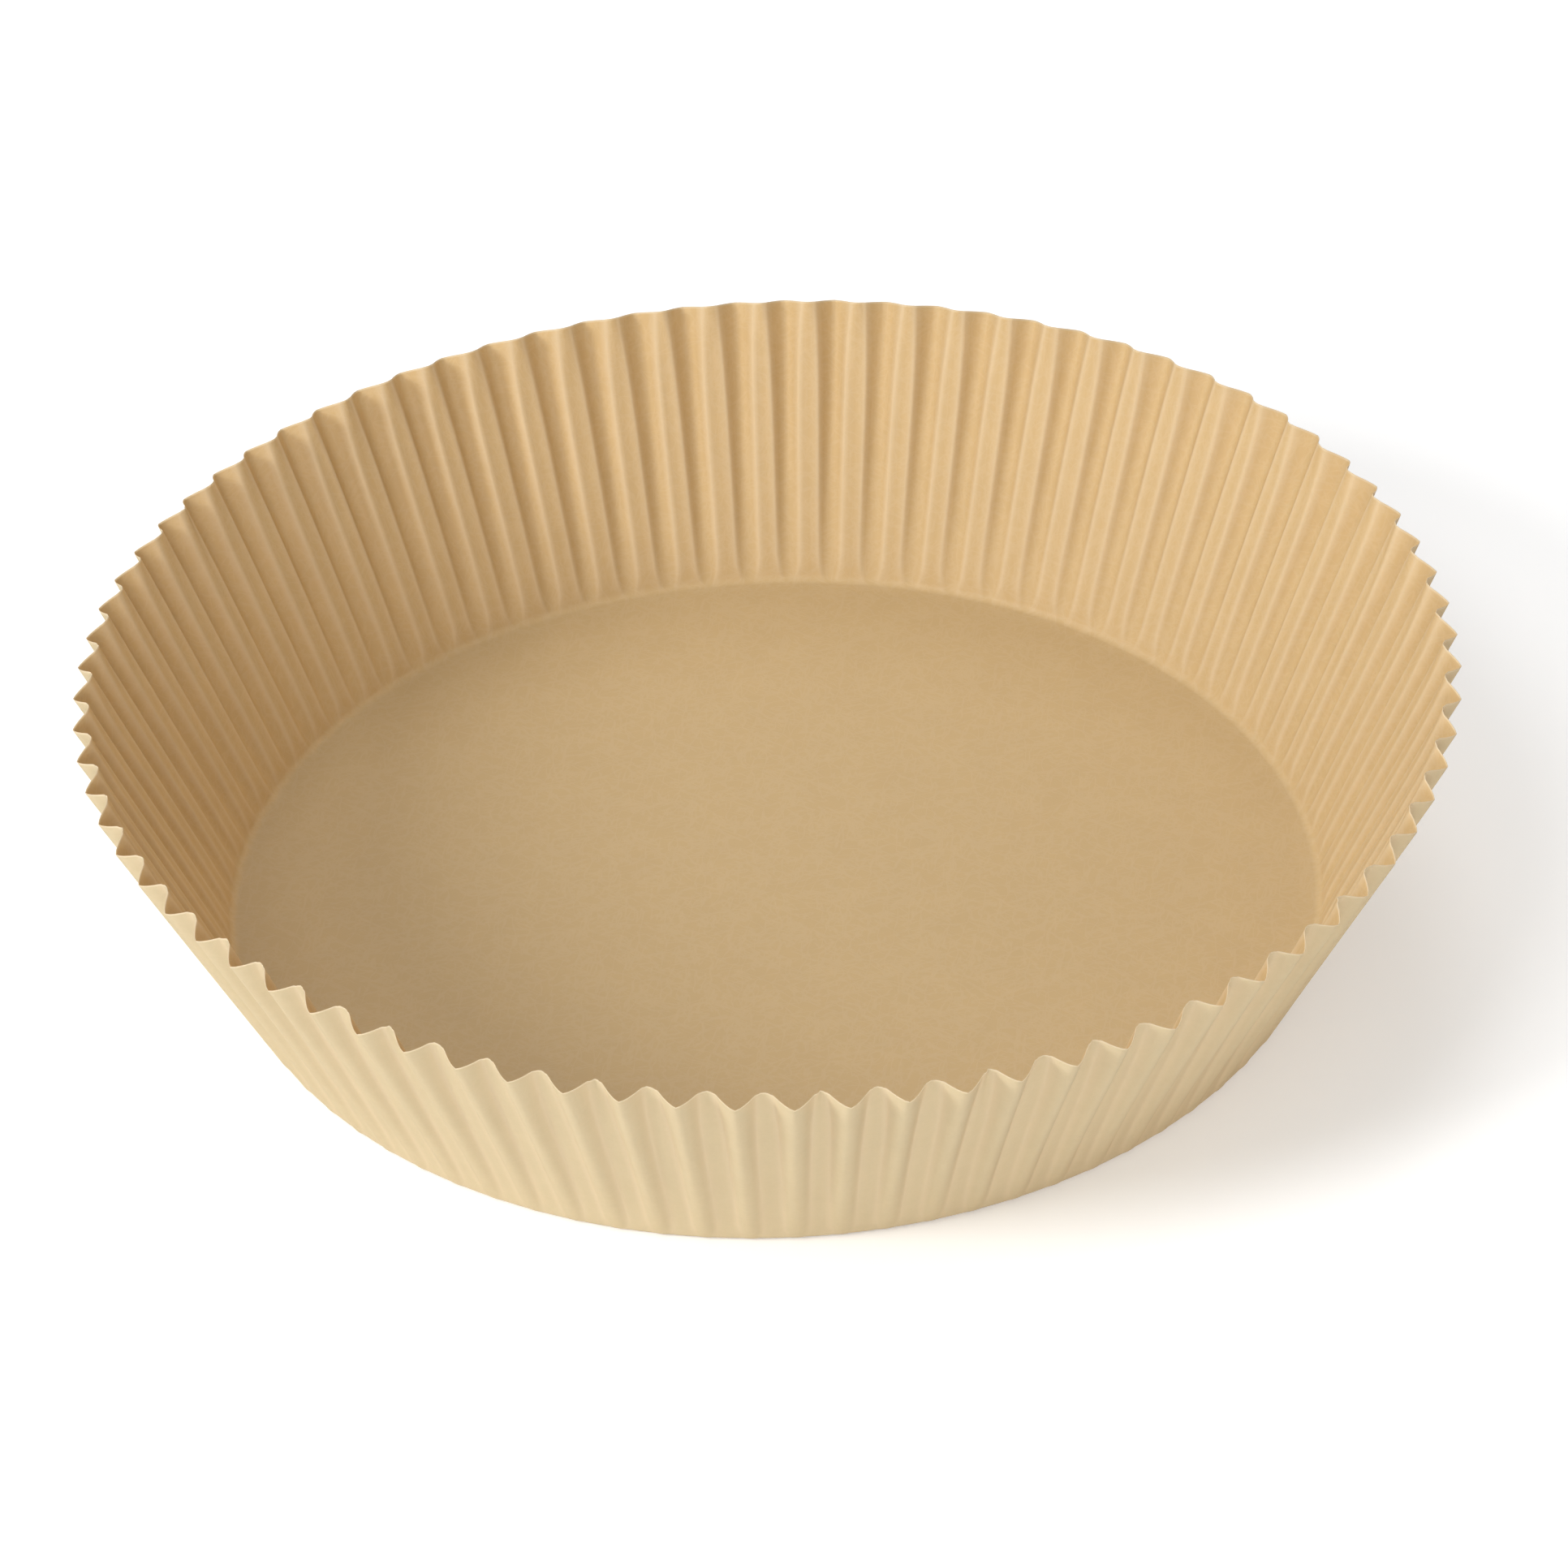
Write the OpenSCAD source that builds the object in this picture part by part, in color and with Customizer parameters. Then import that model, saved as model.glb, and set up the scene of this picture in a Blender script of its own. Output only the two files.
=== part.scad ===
// Air fryer paper liner: a round sheet of greaseproof paper, pressed into
// a dish with a flat floor and a flaring wall of pleats. The wall takes up
// the paper that is left over as its circles get shorter, so the depth of
// the pleats follows from the flat sheet and is worked out below.
// Origin: centre of the floor's underside. +Z is up, out of the dish.

/* [Dish] */
// Diameter at which the wall's line would meet the floor
base_diameter = 160; // [100:1:190]
// Diameter across the outer folds at the rim
rim_diameter = 200; // [170:1:300]
// Height of the outer folds at the rim
rim_height = 40; // [20:1:70]
// Radius of the soft bend between floor and wall
bend_radius = 1.6; // [0.5:0.1:6]

/* [Pleats] */
// Number of pleats around the wall
pleat_count = 80; // [30:1:110]
// Flat top of an outer fold, as a share of one pleat's width
outer_flat = 0.14; // [0.1:0.01:0.18]
// Flat top of an inner fold on the wall, as the same share
inner_flat = 0.45; // [0.1:0.01:0.5]
// Flat top of an inner fold at the rim, where the pleats open
rim_flat = 0.26; // [0.1:0.01:0.4]
// Flat top of an inner fold's foot, where it spreads onto the floor
foot_flat = 0.78; // [0.5:0.01:0.8]
// Length of paper up the wall in which the foot narrows to the fold
foot_reach = 5; // [2:0.5:20]

/* [Paper] */
// Thickness of the paper
paper_thickness = 0.06; // [0.04:0.01:0.5]

/* [Hidden] */

// Colour of the unbleached paper
paper_colour = [0.87, 0.76, 0.56];

// Rows of points up the bend and up the straight wall
bend_rows = 2;
wall_rows = 5;
// Above 1, this crowds the wall's rows towards the floor, where the
// pleats deepen fastest
row_crowding = 1.5;
// Power of the length up the wall by which the inner folds narrow to the
// rim: the higher it is, the closer to the rim they stay wide
rim_power = 6;

// The wall in section: its slope, its bend and its straight part
spread = (rim_diameter - base_diameter) / 2;
wall_slope = atan2(rim_height, spread);
bend_tangent = bend_radius * tan(wall_slope / 2);
bend_length = bend_radius * wall_slope * PI / 180;
straight_length = norm([spread, rim_height]) - bend_tangent;
wall_length = bend_length + straight_length;

// Radius of the floor's flat part, where the pleats begin
floor_radius = base_diameter / 2 - bend_tangent;

// Each pleat has four fold lines: two at its inner flat, two at its outer
folds_per_pleat = 4;
columns = pleat_count * folds_per_pleat;
rows = bend_rows + wall_rows + 1;

// Paper length from the floor's edge to a row
function row_length(row) =
    row <= bend_rows
    ? bend_length * row / bend_rows
    : bend_length + straight_length * pow((row - bend_rows) / wall_rows, row_crowding);

// Slope of the wall at that paper length
function slope_at(along) = wall_slope * min(1, along / bend_length);

// Distance from the axis to the outer folds at that paper length
function radius_at(along) =
    floor_radius + bend_radius * sin(slope_at(along))
    + max(0, along - bend_length) * cos(wall_slope);

// Height of the outer folds at that paper length
function height_at(along) =
    paper_thickness / 2 + bend_radius * (1 - cos(slope_at(along)))
    + max(0, along - bend_length) * sin(wall_slope);

// Width of one pleat on a circle of that radius
function pleat_width(radius) = 2 * PI * radius / pleat_count;

// Share of the pleat's width that its inner flat takes up, and one flank
function inner_share(along) =
    inner_flat
    + (foot_flat - inner_flat) * pow(max(0, 1 - along / foot_reach), 2)
    + (rim_flat - inner_flat) * pow(along / wall_length, rim_power);
function flank_share(along) = (1 - inner_share(along) - outer_flat) / 2;

// Depth of a pleat that gathers the sheet's circle to the given radius:
// what the circle is too long by goes into the two flanks
function gathered_depth(along, radius) =
    let (spare = (floor_radius + along) / radius - 1)
    let (flank_paper = flank_share(along) + spare / 2)
    pleat_width(radius) * sqrt(max(0, pow(flank_paper, 2) - pow(flank_share(along), 2)));

// The same, gathered to the circle half way between inner and outer folds
function pleat_depth(along) =
    let (radius = radius_at(along))
    let (first_guess = gathered_depth(along, radius))
    gathered_depth(along, radius - first_guess / 2 * sin(slope_at(along)));

// Place of a fold line across its pleat, as a share of the pleat's width,
// from the middle of the inner fold
function fold_place(fold, along) =
    let (inner_half = inner_share(along) / 2)
    let (outer_half = outer_flat / 2)
    [-inner_half, inner_half, 0.5 - outer_half, 0.5 + outer_half][fold];

// Flanks that fall towards the outer fold shift one way, the others back
function fold_side(fold) = (fold == 1 || fold == 2) ? 1 : -1;

// A point of the paper's inner face (face = 1) or outer face (face = -1),
// set off from the middle of the paper so that both keep its thickness
function sheet_point(row, column, face) =
    let (along = row_length(row))
    let (fold = column % folds_per_pleat)
    let (pleat = floor(column / folds_per_pleat))
    let (depth = pleat_depth(along))
    let (width = pleat_width(radius_at(along)))
    let (flank_slope = atan2(depth, flank_share(along) * width))
    let (half_paper = face * paper_thickness / 2)
    let (rise = half_paper + (fold < 2 ? depth : 0))
    let (shift = half_paper * tan(flank_slope / 2) * fold_side(fold) / width)
    let (turn = 360 / pleat_count * (pleat + fold_place(fold, along) + shift))
    let (radius = radius_at(along) - rise * sin(slope_at(along)))
    [radius * cos(turn), radius * sin(turn),
     height_at(along) + rise * cos(slope_at(along))];

function sheet_face(face) =
    [for (row = [0 : rows - 1]) for (column = [0 : columns - 1])
        sheet_point(row, column, face)];

// Number of a point of the inner (0) or the outer (1) face in the list
function point_index(face, row, column) =
    (face * rows + row) * columns + column % columns;

// The whole liner: both faces of the paper, the floor's two discs and the
// cut edge at the rim, as one closed surface
module liner() {
    top_centre = 2 * rows * columns;
    bottom_centre = top_centre + 1;
    points = concat(
        sheet_face(1),
        sheet_face(-1),
        [[0, 0, paper_thickness], [0, 0, 0]]
    );
    inner_face = [for (row = [0 : rows - 2]) for (column = [0 : columns - 1]) each [
        [point_index(0, row, column), point_index(0, row, column + 1),
         point_index(0, row + 1, column + 1)],
        [point_index(0, row, column), point_index(0, row + 1, column + 1),
         point_index(0, row + 1, column)]
    ]];
    outer_face = [for (row = [0 : rows - 2]) for (column = [0 : columns - 1]) each [
        [point_index(1, row + 1, column + 1), point_index(1, row, column + 1),
         point_index(1, row, column)],
        [point_index(1, row + 1, column), point_index(1, row + 1, column + 1),
         point_index(1, row, column)]
    ]];
    cut_edge = [for (column = [0 : columns - 1]) each [
        [point_index(0, rows - 1, column), point_index(0, rows - 1, column + 1),
         point_index(1, rows - 1, column + 1)],
        [point_index(0, rows - 1, column), point_index(1, rows - 1, column + 1),
         point_index(1, rows - 1, column)]
    ]];
    floor_discs = [for (column = [0 : columns - 1]) each [
        [top_centre, point_index(0, 0, column + 1), point_index(0, 0, column)],
        [bottom_centre, point_index(1, 0, column), point_index(1, 0, column + 1)]
    ]];
    color(paper_colour)
        polyhedron(
            points = points,
            faces = concat(inner_face, outer_face, cut_edge, floor_discs),
            convexity = 10
        );
}

liner();
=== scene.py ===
# %% [markdown]
# # Dressing an air fryer paper liner
#
# The real object is one round sheet of unbleached greaseproof paper. A stack
# of sheets is pressed between two fluted dies, which leaves a flat floor and
# a flaring wall of sharp pleats. Nothing is cut or glued: the paper that a
# smaller circle no longer needs is taken up by the pleats.
#
# This lesson does what the press does. It makes a flat disc of paper, moves
# every point of it to its place in the dish, gives the sheet its thickness
# and its finish, and lights it in a plain white studio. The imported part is
# loaded first, because it fixes the size and the place of everything.

import math
import random

import bmesh
import bpy
from mathutils import Matrix, Vector, noise


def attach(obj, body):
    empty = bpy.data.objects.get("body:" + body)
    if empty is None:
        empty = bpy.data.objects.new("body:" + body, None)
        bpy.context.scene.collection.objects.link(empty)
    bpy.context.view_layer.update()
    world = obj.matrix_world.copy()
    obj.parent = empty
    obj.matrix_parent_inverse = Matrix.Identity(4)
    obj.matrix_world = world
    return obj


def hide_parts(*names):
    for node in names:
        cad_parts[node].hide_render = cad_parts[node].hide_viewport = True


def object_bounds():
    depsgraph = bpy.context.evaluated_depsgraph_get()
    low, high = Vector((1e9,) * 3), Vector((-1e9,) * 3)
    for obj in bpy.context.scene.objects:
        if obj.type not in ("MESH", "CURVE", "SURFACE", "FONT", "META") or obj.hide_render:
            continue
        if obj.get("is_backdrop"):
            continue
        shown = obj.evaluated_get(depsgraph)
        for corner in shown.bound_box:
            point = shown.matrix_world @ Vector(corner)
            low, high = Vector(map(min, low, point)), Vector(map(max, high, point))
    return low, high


MM = 0.001

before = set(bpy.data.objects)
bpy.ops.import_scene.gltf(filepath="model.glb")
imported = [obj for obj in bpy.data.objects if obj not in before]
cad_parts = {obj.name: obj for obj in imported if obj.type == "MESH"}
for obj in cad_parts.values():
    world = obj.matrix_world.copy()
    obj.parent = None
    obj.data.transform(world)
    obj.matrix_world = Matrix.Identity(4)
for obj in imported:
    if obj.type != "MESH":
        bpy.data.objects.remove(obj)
cad_low, cad_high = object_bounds()


def in_mm(lengths):
    return [round(length / MM, 2) for length in lengths]


print("frame", in_mm((*cad_low, *cad_high)), "mm")

# %% [markdown]
# ## The camera
#
# The photograph looks down on the dish from the front through a long lens:
# the far side of the rim is hardly smaller than the near side. The elevation,
# distance and focal length below came from fitting circles of the real sizes
# to the rim and the floor. A wider lens close by would fit the outline too,
# but it would spread the near pleats and squeeze the far ones. The camera
# stands a third of a pleat to the right of the dish's own front, which puts
# the near folds where the photograph has them.

# %% Camera
SENSOR = 36.0
LENS = 174.6
DISTANCE = 1.106
ELEVATION = math.radians(36.3)
ROUND_TO_RIGHT = math.radians(1.4)
ROLL = math.radians(2.3)
AIM = Vector((1.9, -0.2, 19.7)) * MM
NEAREST = 0.05
FARTHEST = 20


def make_camera():
    data = bpy.data.cameras.new("camera")
    data.sensor_width = SENSOR
    data.lens = LENS
    data.clip_start = NEAREST
    data.clip_end = FARTHEST
    camera = bpy.data.objects.new("camera", data)
    bpy.context.collection.objects.link(camera)
    right = Vector((math.cos(ROUND_TO_RIGHT), math.sin(ROUND_TO_RIGHT), 0))
    level = Vector((-right.y, right.x, 0))
    forward = level * math.cos(ELEVATION) - Vector((0, 0, math.sin(ELEVATION)))
    up = right.cross(forward)
    side = right * math.cos(ROLL) - up * math.sin(ROLL)
    top = right * math.sin(ROLL) + up * math.cos(ROLL)
    turn = Matrix((side, top, -forward)).transposed()
    camera.matrix_world = Matrix.Translation(AIM - forward * DISTANCE) @ turn.to_4x4()
    return camera


camera = make_camera()
bpy.context.scene.camera = camera
print("camera at", [round(x, 3) for x in camera.matrix_world.translation])

# %% [markdown]
# ## The sizes of the liner
#
# These are the sizes of the real thing, the same as in the part's source, in
# metres. The four flats are shares of one pleat's width. The rest follows: the
# slope of the wall, the length of paper up it, and the flat disc that the dish
# was pressed from. Some of them could be read off the frame instead, but the
# lesson is easier to follow with all the sizes in sight. The frame's sides are
# printed below the rim's, so that a change of size shows up here.

# %% Sizes
BASE_RADIUS = 80 * MM
RIM_RADIUS = 100 * MM
RIM_HEIGHT = 40 * MM
BEND_RADIUS = 1.6 * MM
PAPER = 0.06 * MM
PLEATS = 80
INNER_FLAT = 0.45
OUTER_FLAT = 0.14
RIM_FLAT = 0.26
FOOT_FLAT = 0.78
FOOT_REACH = 5 * MM
RIM_POWER = 6

spread = RIM_RADIUS - BASE_RADIUS
wall_slope = math.atan2(RIM_HEIGHT, spread)
bend_tangent = BEND_RADIUS * math.tan(wall_slope / 2)
bend_length = BEND_RADIUS * wall_slope
straight_length = math.hypot(spread, RIM_HEIGHT) - bend_tangent
floor_radius = BASE_RADIUS - bend_tangent
disc_radius = floor_radius + bend_length + straight_length
print("flat disc and rim", in_mm((2 * disc_radius, 2 * RIM_RADIUS)), "mm across")
print("frame", in_mm(cad_high - cad_low), "mm")

# %% [markdown]
# ## The wall in section
#
# Each point of the sheet is known by how far it lies from the sheet's centre.
# Inside floor_radius it stays on the floor. Beyond that it goes round a small
# bend and then straight up the wall. This gives the line of the outer folds,
# which lay against the outer die. A drawn curve, spun round, would give the
# same line, but the pleats need it as a rule that can be asked at any point.


# %% Where a ring of the sheet ends up
def slope_at(along):
    return wall_slope * min(1.0, max(0.0, along / bend_length))


def outline_at(along):
    if along < 0:
        return floor_radius + along, 0.0
    slope = slope_at(along)
    straight = max(0.0, along - bend_length)
    radius = floor_radius + BEND_RADIUS * math.sin(slope) + straight * math.cos(wall_slope)
    height = BEND_RADIUS * (1 - math.cos(slope)) + straight * math.sin(wall_slope)
    return radius, height


wall_length = disc_radius - floor_radius
print("rim outline", in_mm(outline_at(wall_length)), "mm out and up")

# %% [markdown]
# ## How deep a pleat is
#
# A ring of the flat sheet is longer than the circle it is pressed to. The
# spare length goes into the two flanks of each pleat, and that sets its
# depth: nothing at the floor, where the two are equal, and most at the rim.
# The flat tops of the inner folds spread into broad feet near the floor, and
# they narrow again towards the rim, where the pleats are free to open. A depth
# drawn by eye would be quicker, but the sheet would have to stretch for it,
# and the wall would then look like cloth or plastic.


# %% Pleat depth
def inner_share(along):
    along = max(0.0, along)
    foot = max(0.0, 1 - along / FOOT_REACH) ** 2
    rim = (along / wall_length) ** RIM_POWER
    return INNER_FLAT + (FOOT_FLAT - INNER_FLAT) * foot + (RIM_FLAT - INNER_FLAT) * rim


def gathered_depth(along, radius):
    spare = (floor_radius + along) / radius - 1
    flank = (1 - inner_share(along) - OUTER_FLAT) / 2
    width = 2 * math.pi * radius / PLEATS
    return width * math.sqrt(max(0.0, (flank + spare / 2) ** 2 - flank**2))


def pleat_depth(along):
    if along <= 0:
        return 0.0
    radius = outline_at(along)[0]
    first_guess = gathered_depth(along, radius)
    return gathered_depth(along, radius - first_guess / 2 * math.sin(slope_at(along)))


heights = (0.05, 0.3, 1.0)
depths = in_mm(pleat_depth(share * wall_length) for share in heights)
print("depth", depths, "mm at", heights, "of the wall")

# %% [markdown]
# ## The flat disc
#
# The sheet starts as a row of points from its centre to its edge, spun
# through one pleat and then copied round. Rings lie close together at the
# bend, where the shape changes most, and the number of spokes is a whole
# number for each pleat, so that every fold line gets spokes of its own. A
# square grid would be easier to make, but its edges would cross the folds
# and blur them.

# %% Rings and spokes
SPOKES_PER_PLEAT = 16
FLOOR_RINGS = (10, 24, 38, 52, 64, 72, 76.5)
BEND_RINGS = 5
WALL_RINGS = 19
WALL_CROWDING = 1.4
# The ring just inside the rim bounds the cut edge, which is painted paler: partly its own fuzzy
# fibres, partly a painted highlight.
CUT_EDGE = 0.35 * MM
SAME_POINT = 0.001 * MM

floor_part = [r * MM for r in FLOOR_RINGS]
bend_part = [floor_radius + bend_length * i / BEND_RINGS for i in range(BEND_RINGS)]
wall_part = [
    disc_radius - straight_length * (1 - (i / WALL_RINGS) ** WALL_CROWDING)
    for i in range(WALL_RINGS + 1)
]
ring_radii = sorted(floor_part + bend_part + wall_part + [disc_radius - CUT_EDGE])
spokes = PLEATS * SPOKES_PER_PLEAT
print(len(ring_radii), "rings,", spokes, "spokes")


# %% Spin the disc
def flat_disc():
    bm = bmesh.new()
    row = [bm.verts.new((radius, 0, 0)) for radius in [0.0] + ring_radii]
    edges = [bm.edges.new(pair) for pair in zip(row, row[1:])]
    about = {"cent": (0, 0, 0), "axis": (0, 0, 1)}
    one_pleat = 2 * math.pi / PLEATS
    bmesh.ops.spin(bm, geom=row + edges, angle=one_pleat, steps=SPOKES_PER_PLEAT, **about)
    wedge = bm.verts[:] + bm.edges[:] + bm.faces[:]
    bmesh.ops.spin(
        bm, geom=wedge, angle=2 * math.pi, steps=PLEATS, use_duplicate=True, **about
    )
    bmesh.ops.remove_doubles(bm, verts=bm.verts[:], dist=SAME_POINT)
    bmesh.ops.recalc_face_normals(bm, faces=bm.faces[:])
    if sum(face.normal.z for face in bm.faces) < 0:
        bmesh.ops.reverse_faces(bm, faces=bm.faces[:])
    return bm


sheet = flat_disc()
print("disc", len(sheet.verts), "points,", len(sheet.faces), "faces")

# %% [markdown]
# ## The shape across one pleat
#
# The inner folds are crisp: the paper turns through them over a few tenths
# of a millimetre, and the flat top between them springs back into a shallow
# hollow. From there to the next pleat the sheet hangs in a round trough,
# steep at the folds and level at its bottom, whose outside is a round rib.
# At the rim the hollow turns into a low crown and the trough is nearly a
# plain V. So each inner fold line gets three spokes, one on it and one at
# each side. The hollow gets one in its middle and one up each side, and the
# trough gets the rest. The list gives each spoke its place across the pleat,
# its level (1 on the inner folds and 0 at the trough's bottom) and how much
# paler the paper is painted there: partly the fold's broken surface, partly
# a painted highlight along the crease. Half a pleat is worked out, and the
# other half is its mirror image.

# %% Spokes across a pleat
CRISP_FOLD = 0.035
INNER_HOLLOW = 0.1
RIM_CROWN = 0.12
HOLLOW_STEP = 0.6
TROUGH_STEPS = 4
TROUGH_POWER = 2.0
RIM_TROUGH_POWER = 1.35
FOLD_SINK = 0.25
# How much paler each spoke is painted: partly the fold's broken surface, partly a painted
# highlight along the crease.
HOLLOW_PALE = 0.3
SIDE_PALE = 0.9
TOP_PALE = 1.0
BESIDE_PALE = 0.7
TROUGH_PALE = 0.3
TROUGH_PALE_POWER = 6


def spokes_across(inner, rim):
    """Spokes of one pleat; rim goes from 0 on the wall to 1 at the rim."""
    top = inner / 2
    trough = 0.5 - top
    power = TROUGH_POWER + (RIM_TROUGH_POWER - TROUGH_POWER) * rim
    beside = 1 - CRISP_FOLD / trough
    side = top - CRISP_FOLD
    dip = INNER_HOLLOW - (INNER_HOLLOW + RIM_CROWN) * rim
    half = [
        (0.0, 1 - dip, 0.0),
        (side * HOLLOW_STEP, 1 - dip * (1 - HOLLOW_STEP**2), HOLLOW_PALE),
        (side, 1.0, SIDE_PALE),
        (top, 1 - FOLD_SINK * (1 - beside**power), TOP_PALE),
        (top + CRISP_FOLD, beside**power, BESIDE_PALE),
    ]
    for step in range(TROUGH_STEPS - 1, -1, -1):
        share = beside * step / TROUGH_STEPS
        pale = TROUGH_PALE * share**TROUGH_PALE_POWER
        half.append((0.5 - trough * share, share**power, pale))
    other_half = [(1 - place, level, fold) for place, level, fold in half[-2:0:-1]]
    return half + other_half


print(len(spokes_across(INNER_FLAT, 0)), "spokes across a pleat")

# %% [markdown]
# ## How paper springs back
#
# The dies are exact, but paper springs back from them, and no two pleats
# open alike. Each pleat gets its own small share of depth, place and flats
# from seeded random numbers. The wall as a whole leans in and out by up to
# a millimetre as it goes round, which leaves the rim a little out of round,
# as in the photograph. The floor swells by a quarter of one at most. Such
# sheets are cut in a thick stack, so the outline of one is off a true circle
# as well, and the wall is up to a millimetre and a half lower in some places.
# A round trough takes less paper than the flat one that the rule above counts
# with, so the pleats come out a little deeper. They also drift along the wall
# by up to a fifth of their width. Lean, cut and drift are each a few waves
# round the wall: how many times it goes up and down, how far, and where it
# starts. Lean and cut are in millimetres, and drift in widths of a pleat. A
# noise on the finished mesh would be simpler, but it would bend the folds,
# and a pressed fold runs nearly straight from the floor to the rim.

# %% Spring
random.seed(80)
ROUND_GAIN = 1.05
DEPTH_SPREAD = 0.05
PLACE_SPREAD = 0.025
FLAT_SPREAD = 0.02
LEANS = ((1, 0.15, -1.08), (2, 0.79, 0.64), (3, 0.19, -0.14), (4, 0.17, 3.14))
SHORT_CUT = ((0, 0.45, 1.57), (1, 0.27, 1.86), (2, 1.06, 3.86))
DRIFT = ((0, 0.045, 1.57), (1, 0.073, 6.28), (2, 0.04, 4.57), (3, 0.019, 2.59))
LEAN_POWER = 1.3
FLOOR_SWELL = 0.25 * MM
SWELL_EDGE = 20 * MM
SWELLS_PER_METRE = 22


def pleat_spring():
    return {
        "depth": ROUND_GAIN + random.uniform(-DEPTH_SPREAD, DEPTH_SPREAD),
        "place": random.uniform(-PLACE_SPREAD, PLACE_SPREAD),
        "inner": random.uniform(-FLAT_SPREAD, FLAT_SPREAD),
    }


springs = [pleat_spring() for _ in range(PLEATS)]


def sway(waves, turn):
    return sum(size * math.sin(times * turn + start) for times, size, start in waves)


def lean_at(turn, share):
    return MM * sway(LEANS, turn) * share**LEAN_POWER


def cut_radius(flat_radius, turn):
    """Where a ring of the true disc lies on the sheet as it was cut."""
    along = max(0.0, flat_radius - floor_radius)
    return flat_radius - MM * sway(SHORT_CUT, turn) * along / wall_length


def swell_at(x, y):
    inside = (floor_radius - math.hypot(x, y)) / SWELL_EDGE
    wave = 0.5 + 0.5 * noise.noise(Vector((x, y, 0)) * SWELLS_PER_METRE)
    return FLOOR_SWELL * wave * min(1.0, max(0.0, inside))


turns = [2 * math.pi * pleat / PLEATS for pleat in range(PLEATS)]
leans = [lean_at(turn, 1) for turn in turns]
cuts = [disc_radius - cut_radius(disc_radius, turn) for turn in turns]
print("lean", in_mm((min(leans), max(leans))), "mm, cut", in_mm((min(cuts), max(cuts))), "mm")

# %% [markdown]
# ## Press the disc
#
# Now every point of the disc moves to its place in the dish: round to its
# spoke's place in the pleat, out and up to its ring's place on the wall, and
# off the wall by the pleat's depth. Three things are kept for the finish: how
# much paler the paper is painted near a fold line (partly its broken surface,
# partly a painted highlight along the crease), whether the point is on the
# cut edge, and where it lay on the flat sheet, so that the paper's fibres can
# run on through the folds. A pleat's own place and its pale folds fade in
# from the floor up.


# %% Press one point
PLACE_POWER = 0.5
PALE_FADE = 12


def pressed(pleat, index, across, flat_radius, depth):
    share = max(0.0, (flat_radius - floor_radius) / wall_length)
    place, level, fold = across
    turn = 2 * math.pi / PLEATS * (index + place + pleat["place"] * share**PLACE_POWER)
    turn += 2 * math.pi / PLEATS * sway(DRIFT, turn)
    flat_radius = cut_radius(flat_radius, turn)
    along = flat_radius - floor_radius
    slope = slope_at(along)
    radius, height = outline_at(along)
    rise = depth * pleat["depth"] * level + lean_at(turn, share)
    radius -= rise * math.sin(slope)
    height += rise * math.cos(slope) if along > 0 else 0.0
    x, y = radius * math.cos(turn), radius * math.sin(turn)
    height += swell_at(x, y)
    flat = Vector((flat_radius * math.cos(turn), flat_radius * math.sin(turn), 0))
    return Vector((x, y, height + PAPER / 2)), fold * min(1.0, share * PALE_FADE), flat


rim_fold = pressed(springs[0], 0, (0.0, 1.0, 1.0), disc_radius, pleat_depth(wall_length))
print("first inner fold at the rim", in_mm(rim_fold[0]), "mm")


# %% Press the whole sheet
def ring_spokes(flat_radius):
    """Spokes of every pleat on one ring, and the pleat's depth there."""
    along = flat_radius - floor_radius
    inner = inner_share(along)
    rim = max(0.0, along / wall_length) ** RIM_POWER
    across = [spokes_across(inner + pleat["inner"], rim) for pleat in springs]
    return across, pleat_depth(along)


def press(bm):
    # The fold paleness is kept as an attribute. Part of it is a painted highlight along the
    # crease.
    folds = bm.verts.layers.float.new("fold_pale_and_highlight")
    edges = bm.verts.layers.float.new("cut_edge")
    flats = bm.verts.layers.float_vector.new("flat_place")
    rings = {}
    for vert in bm.verts:
        flat = vert.co.copy()
        radius = round(flat.length, 7)
        if radius == 0:
            vert.co.z = PAPER / 2 + swell_at(0, 0)
            continue
        if radius not in rings:
            rings[radius] = ring_spokes(radius)
        across, depth = rings[radius]
        step = round(math.atan2(flat.y, flat.x) / (2 * math.pi) * spokes) % spokes
        index, spoke = divmod(step, SPOKES_PER_PLEAT)
        vert.co, vert[folds], vert[flats] = pressed(
            springs[index], index, across[index][spoke], radius, depth
        )
        # The cut edge is painted paler, partly as a painted highlight.
        vert[edges] = 1.0 if radius > disc_radius - CUT_EDGE / 2 else 0.0


press(sheet)
reach = [max(vert.co[axis] for vert in sheet.verts) for axis in range(3)]
print("pressed sheet reaches", in_mm(reach), "mm")

# %% [markdown]
# ## The thickness of the paper
#
# The pressed sheet still has no thickness. The Solidify modifier gives it
# one, half to each side, so that the pleats keep their place. It also closes
# the sheet at the rim, which is the cut edge. Two copies of the sheet could
# be joined by hand instead, but the modifier keeps both faces the same
# distance apart round every fold. The outside and the edge get the second
# material, and the inside the first.


# %% Give the sheet its thickness
def paper_piece(bm, name):
    mesh = bpy.data.meshes.new(name)
    bm.to_mesh(mesh)
    bm.free()
    for polygon in mesh.polygons:
        polygon.use_smooth = True
    piece = bpy.data.objects.new(name, mesh)
    bpy.context.collection.objects.link(piece)
    wall = piece.modifiers.new("paper", "SOLIDIFY")
    wall.thickness = PAPER
    wall.offset = 0
    wall.material_offset = 1
    wall.material_offset_rim = 1
    return piece


liner = paper_piece(sheet, "paper_liner")
print("piece", liner.name, len(liner.data.polygons), "faces before thickness")
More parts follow.
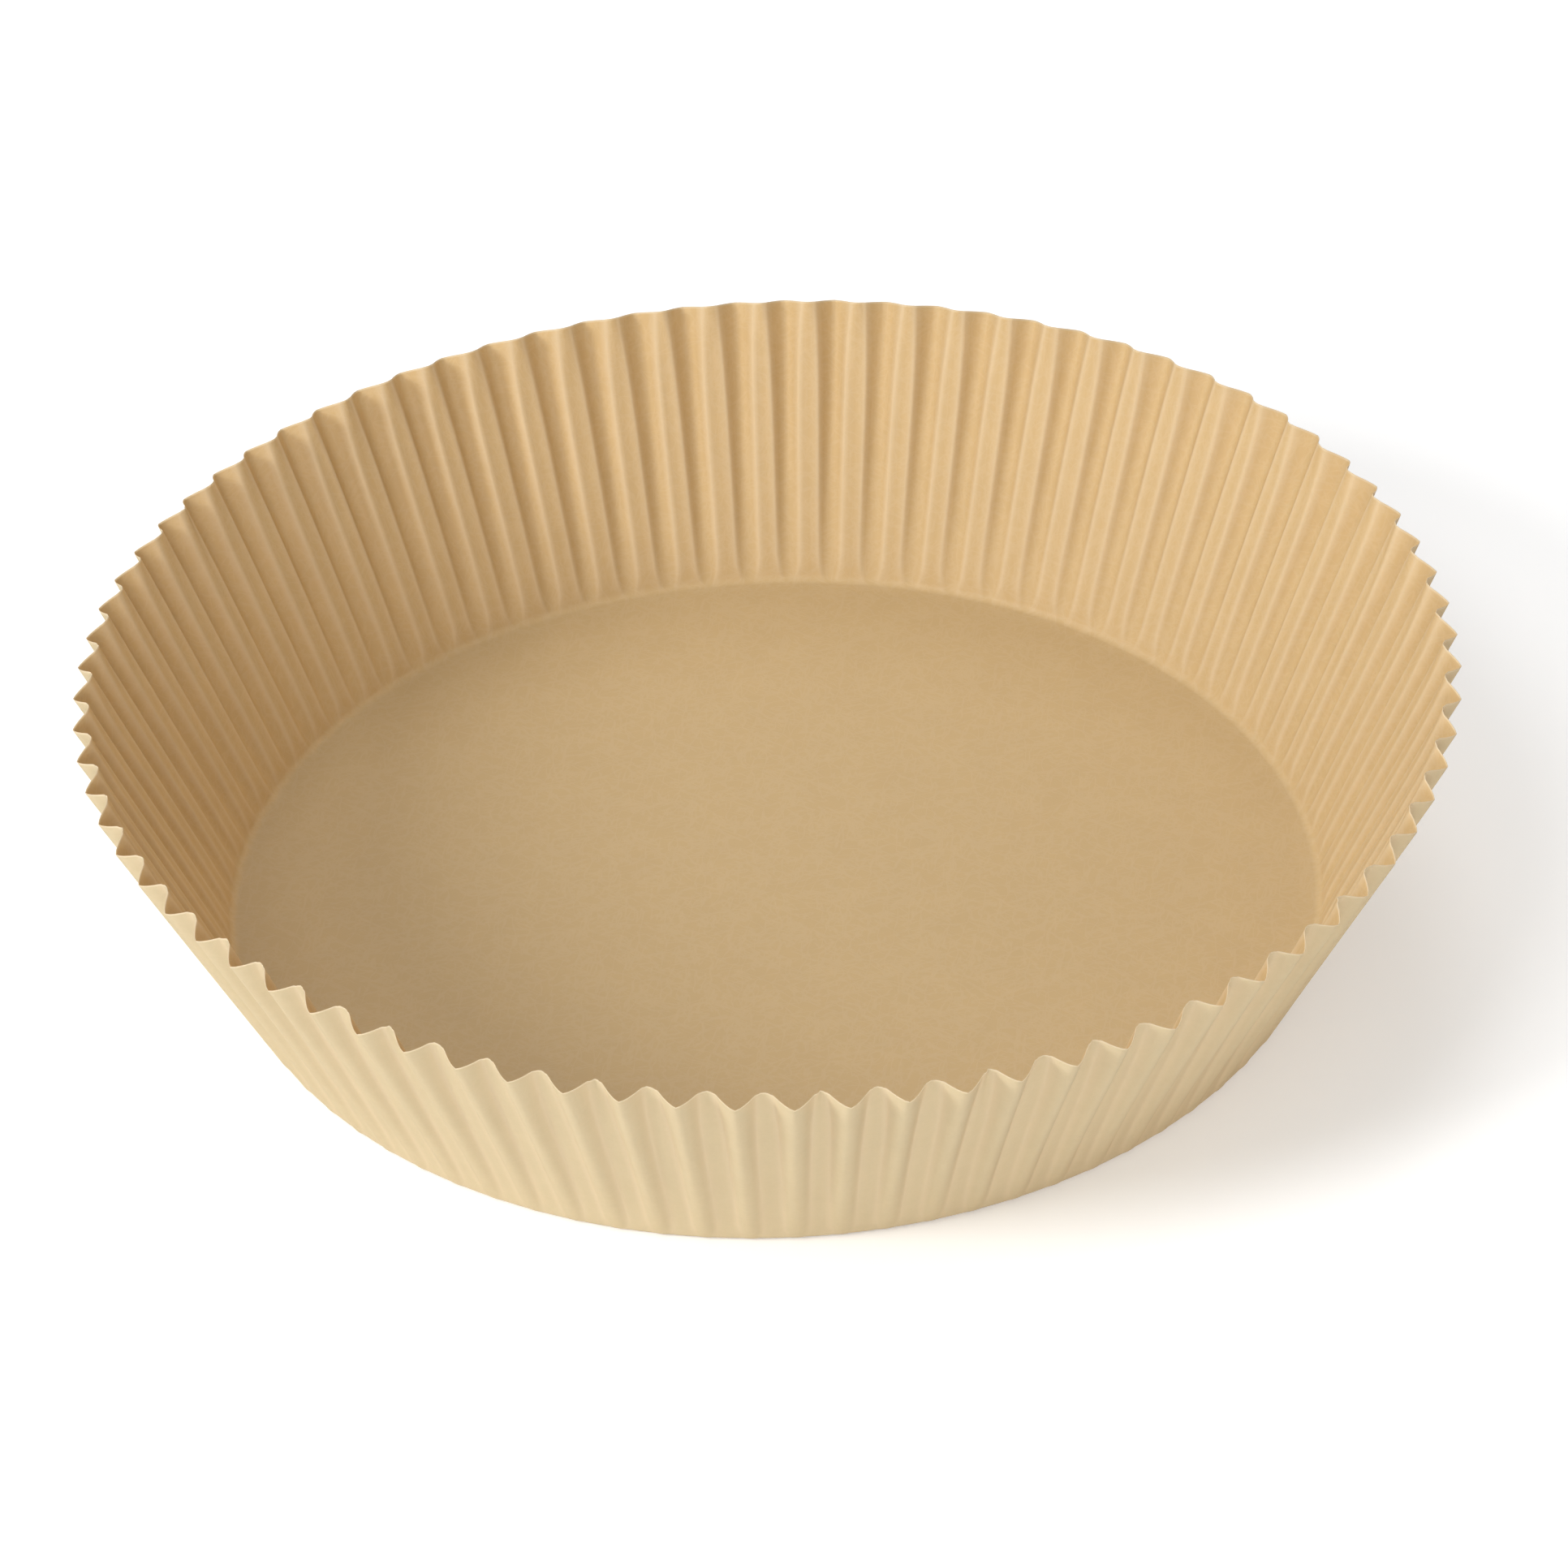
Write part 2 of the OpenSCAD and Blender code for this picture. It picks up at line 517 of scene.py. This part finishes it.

# %% [markdown]
# ## The paper
#
# Unbleached greaseproof paper is tan and even, with the soft cloudiness of
# pulp held against the light, fine fibres that lie in all directions, and a
# faint gloss from its silicone coat. It lets a little light through. The
# folds and the cut edge are painted a shade paler: partly because they break
# its surface, partly as a painted highlight where they catch the light.
# The pattern reads the flat_place attribute, a point's place on the flat
# sheet, so that it isn't stretched or broken by the pleats. A painted image
# would need a map of the sheet and would show its own grain in a close view.
#
# A material is a chain of small nodes. Each helper below adds one of them,
# joins it to what it is given and hands back what comes out of it.


# %% Node helpers
def add_node(tree, kind, inputs=None, **settings):
    node = tree.nodes.new(kind)
    for name, value in settings.items():
        setattr(node, name, value)
    for name, value in (inputs or {}).items():
        if isinstance(value, bpy.types.NodeSocket):
            tree.links.new(value, node.inputs[name])
        else:
            node.inputs[name].default_value = value
    return node


def add_math(tree, operation, *values):
    node = add_node(tree, "ShaderNodeMath", dict(enumerate(values)), operation=operation)
    return node.outputs["Value"]


def add_blend(tree, share, first, second, way="MIX"):
    inputs = {"Factor": share, "A": first, "B": second}
    node = add_node(tree, "ShaderNodeMix", inputs, data_type="RGBA", blend_type=way)
    return node.outputs["Result"]


def add_range(tree, value, old, new):
    inputs = {"Value": value, "From Min": old[0], "From Max": old[1]}
    inputs.update({"To Min": new[0], "To Max": new[1]})
    return add_node(tree, "ShaderNodeMapRange", inputs).outputs["Result"]


def add_noise(tree, place, look):
    return add_node(tree, "ShaderNodeTexNoise", {"Vector": place, **look}).outputs["Fac"]


def new_material(name):
    material = bpy.data.materials.new(name)
    material.use_nodes = True
    material.node_tree.nodes.clear()
    return material


# %% [markdown]
# ### Fibres
#
# A fibre is a thin curved line. A stretched noise has such lines where its
# value passes through a half, so a narrow band round a half draws them. Three
# such noises, turned to different directions, give the tangle of a sheet.
# The node has to turn the place before it stretches it: a TEXTURE mapping
# does that, and divides by its scale. Otherwise all the lines would be
# stretched the same way, like brushed metal.

# %% Fibres
FIBRE_TURNS = (0.3, 1.4, 2.5)
FIBRE_NOISE = {"Scale": 420, "Detail": 2, "Roughness": 0.6}
FIBRE_STRETCH = 3.5
FIBRE_BAND = 0.035


def fibre_lines(tree, place):
    lines = []
    for turn in FIBRE_TURNS:
        turned = add_node(
            tree,
            "ShaderNodeMapping",
            {"Vector": place, "Rotation": (0, 0, turn), "Scale": (FIBRE_STRETCH, 1, 1)},
            vector_type="TEXTURE",
        ).outputs["Vector"]
        wave = add_noise(tree, turned, FIBRE_NOISE)
        off_half = add_math(tree, "ABSOLUTE", add_math(tree, "SUBTRACT", wave, 0.5))
        lines.append(add_range(tree, off_half, (0, FIBRE_BAND), (1, 0)))
    return add_math(tree, "MAXIMUM", add_math(tree, "MAXIMUM", lines[0], lines[1]), lines[2])


fibre_cell = in_mm([1 / FIBRE_NOISE["Scale"]])[0]
print("fibres from", len(FIBRE_TURNS), "noises with cells of", fibre_cell, "mm")

# %% [markdown]
# ### Colour and gloss
#
# The colour goes from a darker to a paler tan with the clouds, and the
# fibres, folds and cut edge each move it a little towards pale; at the folds
# and the cut edge that is partly a painted highlight. The clouds also change
# the gloss, because the coat sinks in where the sheet is thin. The coat is on
# the inside only. It wets the fibres and deepens their tone, so the two faces
# of the sheet get a material each, made by one function. The outside's paler
# tan is partly its own uncoated face and partly painted light, standing in
# for the brighter light it gets from the front and from the white floor.
# Light that goes through the sheet comes out warmer than it went in, and a
# translucent shader of a warmer tan, mixed in by a third, does that. Light
# scattered inside a solid would be truer, but it takes far longer and the
# paper is too thin to show the difference.

# %% Paper colours
COATED = {
    "name": "coated_paper",
    "thick": (0.69, 0.515, 0.267, 1),
    "thin": (0.745, 0.57, 0.307, 1),
    "gloss": (0.44, 0.56),
}
# The outside's paler tan is partly the uncoated face and partly painted light, for the brighter
# light that falls on it.
UNCOATED_AND_PAINTED_LIT = {
    "name": "uncoated_painted_lit_paper",
    "thick": (0.74, 0.64, 0.41, 1),
    "thin": (0.79, 0.705, 0.475, 1),
    "gloss": (0.66, 0.8),
}
# A pale tan for the fibres, and for the folds and the cut edge, where it is partly a painted
# highlight.
PALE_AND_HIGHLIGHT_TAN = (0.87, 0.76, 0.55, 1)
CLOUDS = {"Scale": 130, "Detail": 6, "Roughness": 0.65}
CLOUD_RANGE = (0.3, 0.7)
FIBRE_SHARE = 0.12
FOLD_SHARE = 0.42
EDGE_SHARE = 0.8
FIBRE_RELIEF = 0.5
RELIEF = {"Strength": 0.25, "Distance": 0.05 * MM}
REFLECTION = 0.3
THROUGH_SHARE = 0.36
THROUGH_TINT = (0.92, 0.77, 0.56, 1)

PAPERS = (COATED, UNCOATED_AND_PAINTED_LIT)
for look in PAPERS:
    print(look["name"], "from", look["thick"][:3], "to", look["thin"][:3])


# %% Paper material
def paper_colour(tree, look, cloud, fibre):
    fold = add_node(tree, "ShaderNodeAttribute", attribute_name="fold_pale_and_highlight").outputs["Fac"]
    edge = add_node(tree, "ShaderNodeAttribute", attribute_name="cut_edge").outputs["Fac"]
    colour = add_blend(tree, cloud, look["thick"], look["thin"])
    # Fibres, folds and the cut edge pull the colour towards pale. At the folds and the edge this
    # is partly a painted highlight.
    for share, size in ((fibre, FIBRE_SHARE), (fold, FOLD_SHARE), (edge, EDGE_SHARE)):
        colour = add_blend(tree, add_math(tree, "MULTIPLY", share, size), colour, PALE_AND_HIGHLIGHT_TAN)
    return colour


def paper_relief(tree, cloud, fibre):
    height = add_math(tree, "ADD", cloud, add_math(tree, "MULTIPLY", fibre, FIBRE_RELIEF))
    return add_node(tree, "ShaderNodeBump", {"Height": height, **RELIEF}).outputs["Normal"]


def paper_material(look):
    material = new_material(look["name"])
    tree = material.node_tree
    place = add_node(tree, "ShaderNodeAttribute", attribute_name="flat_place").outputs["Vector"]
    cloud = add_noise(tree, place, CLOUDS)
    fibre = fibre_lines(tree, place)
    colour = paper_colour(tree, look, cloud, fibre)
    gloss = add_range(tree, cloud, CLOUD_RANGE, look["gloss"])
    relief = paper_relief(tree, cloud, fibre)
    skin = add_node(
        tree,
        "ShaderNodeBsdfPrincipled",
        {
            "Base Color": colour,
            "Roughness": gloss,
            "Specular IOR Level": REFLECTION,
            "Normal": relief,
        },
    ).outputs["BSDF"]
    deep = add_blend(tree, 1.0, colour, THROUGH_TINT, "MULTIPLY")
    through = add_node(
        tree, "ShaderNodeBsdfTranslucent", {"Color": deep, "Normal": relief}
    ).outputs["BSDF"]
    both = add_node(tree, "ShaderNodeMixShader", {0: THROUGH_SHARE, 1: skin, 2: through})
    add_node(tree, "ShaderNodeOutputMaterial", {"Surface": both.outputs["Shader"]})
    return material


# %% Put the paper on the liner
for look in PAPERS:
    liner.data.materials.append(paper_material(look))
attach(liner, "root")
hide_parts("liner")
print("paper nodes", len(liner.active_material.node_tree.nodes))

# %% [markdown]
# ## The studio floor
#
# The photograph shows the liner cut out on white, with a soft shadow to its
# right. A plain white floor stands in for that. It lies a hair below the
# liner. More light would make it white as well, but it would bleach the paper
# too. So the floor glows faintly, and only for the camera. That lifts the lit
# floor to white and leaves the shadow, while the light that it throws back
# onto the paper stays that of a plain white board. Well away from the liner the
# glow rises to full white, because the lamps don't reach that far, and the
# floor's edge would show as a grey line when it is looked at from low down.

# %% Studio floor
FLOOR_WHITE = (0.88, 0.88, 0.88, 1)
GLOW = (0.24, 1)
GLOW_REACH = (0.35, 0.9)


def floor_glow(tree):
    place = add_node(tree, "ShaderNodeTexCoord").outputs["Object"]
    far = add_node(tree, "ShaderNodeVectorMath", {0: place}, operation="LENGTH").outputs["Value"]
    strength = add_range(tree, far, GLOW_REACH, GLOW)
    return add_node(tree, "ShaderNodeEmission", {"Strength": strength}).outputs["Emission"]


def seen_directly(tree):
    rays = add_node(tree, "ShaderNodeLightPath").outputs
    seen = add_math(tree, "MAXIMUM", rays["Is Camera Ray"], rays["Is Glossy Ray"])
    return add_math(tree, "MAXIMUM", seen, rays["Is Transmission Ray"])


def floor_material():
    material = new_material("studio_floor")
    tree = material.node_tree
    board = add_node(tree, "ShaderNodeBsdfDiffuse", {"Color": FLOOR_WHITE}).outputs["BSDF"]
    lit = add_node(tree, "ShaderNodeAddShader", {0: board, 1: floor_glow(tree)}).outputs["Shader"]
    both = add_node(tree, "ShaderNodeMixShader", {0: seen_directly(tree), 1: board, 2: lit})
    add_node(tree, "ShaderNodeOutputMaterial", {"Surface": both.outputs["Shader"]})
    return material


print("floor glow", GLOW[0], "near the liner and", GLOW[1], "from", GLOW_REACH[1], "m out")

# %% Lay the floor
FLOOR_HALF_WIDTH = 3.0
FLOOR_DROP = 0.05 * MM


def make_floor(half_width, height):
    bm = bmesh.new()
    bmesh.ops.create_grid(bm, x_segments=1, y_segments=1, size=half_width)
    bmesh.ops.translate(bm, vec=(0, 0, height), verts=bm.verts[:])
    mesh = bpy.data.meshes.new("studio_floor")
    bm.to_mesh(mesh)
    bm.free()
    floor = bpy.data.objects.new("studio_floor", mesh)
    bpy.context.collection.objects.link(floor)
    mesh.materials.append(floor_material())
    floor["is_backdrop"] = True
    return floor


studio_floor = make_floor(FLOOR_HALF_WIDTH, -FLOOR_DROP)
print("floor", [round(x, 1) for x in studio_floor.dimensions], "m")

# %% [markdown]
# ## The light
#
# The pleats at the back are lit from their left, and the wall's left side
# lies in its own shadow. So the key lamp stands at the left and front, low
# enough to graze the folds. A high lamp above it softens the shadow on the
# floor, a low one at the front lights the outside of the wall, and one
# behind reaches the floor but not the end of it that lies below the far
# wall, which is darker. An even sky fills the rest. One large soft lamp would
# be simpler, but the pleats would look flat in it. Each lamp in the list has
# its name, how many degrees it stands to the left of the front and above the
# floor, its width in metres and its power in watts.

# %% Lamps
LAMP_DISTANCE = 2.5
LAMPS = (
    ("key_lamp", 63, 32, 0.9, 38),
    ("high_lamp", 55, 60, 1.0, 11),
    ("front_lamp", 0, 12, 1.2, 23),
    ("back_lamp", 180, 50, 1.0, 8),
)


def add_lamp(name, left, elevation, size, power):
    data = bpy.data.lights.new(name, "AREA")
    data.shape = "DISK"
    data.size = size
    data.energy = power
    lamp = bpy.data.objects.new(name, data)
    bpy.context.collection.objects.link(lamp)
    flat = LAMP_DISTANCE * math.cos(math.radians(elevation))
    lamp.location = (
        -flat * math.sin(math.radians(left)),
        -flat * math.cos(math.radians(left)),
        LAMP_DISTANCE * math.sin(math.radians(elevation)),
    )
    lamp.rotation_mode = "QUATERNION"
    lamp.rotation_quaternion = lamp.location.to_track_quat("Z", "Y")
    return lamp


for lamp in LAMPS:
    add_lamp(*lamp)
print(len(LAMPS), "lamps of", sum(power for *_, power in LAMPS), "watts in all")

# %% Sky
SKY_WHITE = (1, 1, 1, 1)
SKY_STRENGTH = 0.52
BACKGROUND_STRENGTH = 1.0


def add_background(tree, strength):
    inputs = {"Color": SKY_WHITE, "Strength": strength}
    return add_node(tree, "ShaderNodeBackground", inputs).outputs["Background"]


def make_sky():
    world = bpy.data.worlds.new("sky")
    bpy.context.scene.world = world
    world.use_nodes = True
    tree = world.node_tree
    tree.nodes.clear()
    even = add_background(tree, SKY_STRENGTH)
    white = add_background(tree, BACKGROUND_STRENGTH)
    seen = add_node(tree, "ShaderNodeLightPath").outputs["Is Camera Ray"]
    both = add_node(tree, "ShaderNodeMixShader", {0: seen, 1: even, 2: white})
    add_node(tree, "ShaderNodeOutputWorld", {"Surface": both.outputs["Shader"]})


make_sky()
bpy.context.scene.view_settings.view_transform = "Standard"
print("sky", SKY_STRENGTH, "as light,", BACKGROUND_STRENGTH, "as background")

# %% [markdown]
# ## The size of the finish
#
# The dressed model has to stay in the part's own box, apart from a few
# hundredths of its height.

# %% Finish
visual_low, visual_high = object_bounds()
print("visual", in_mm((*visual_low, *visual_high)), "mm")
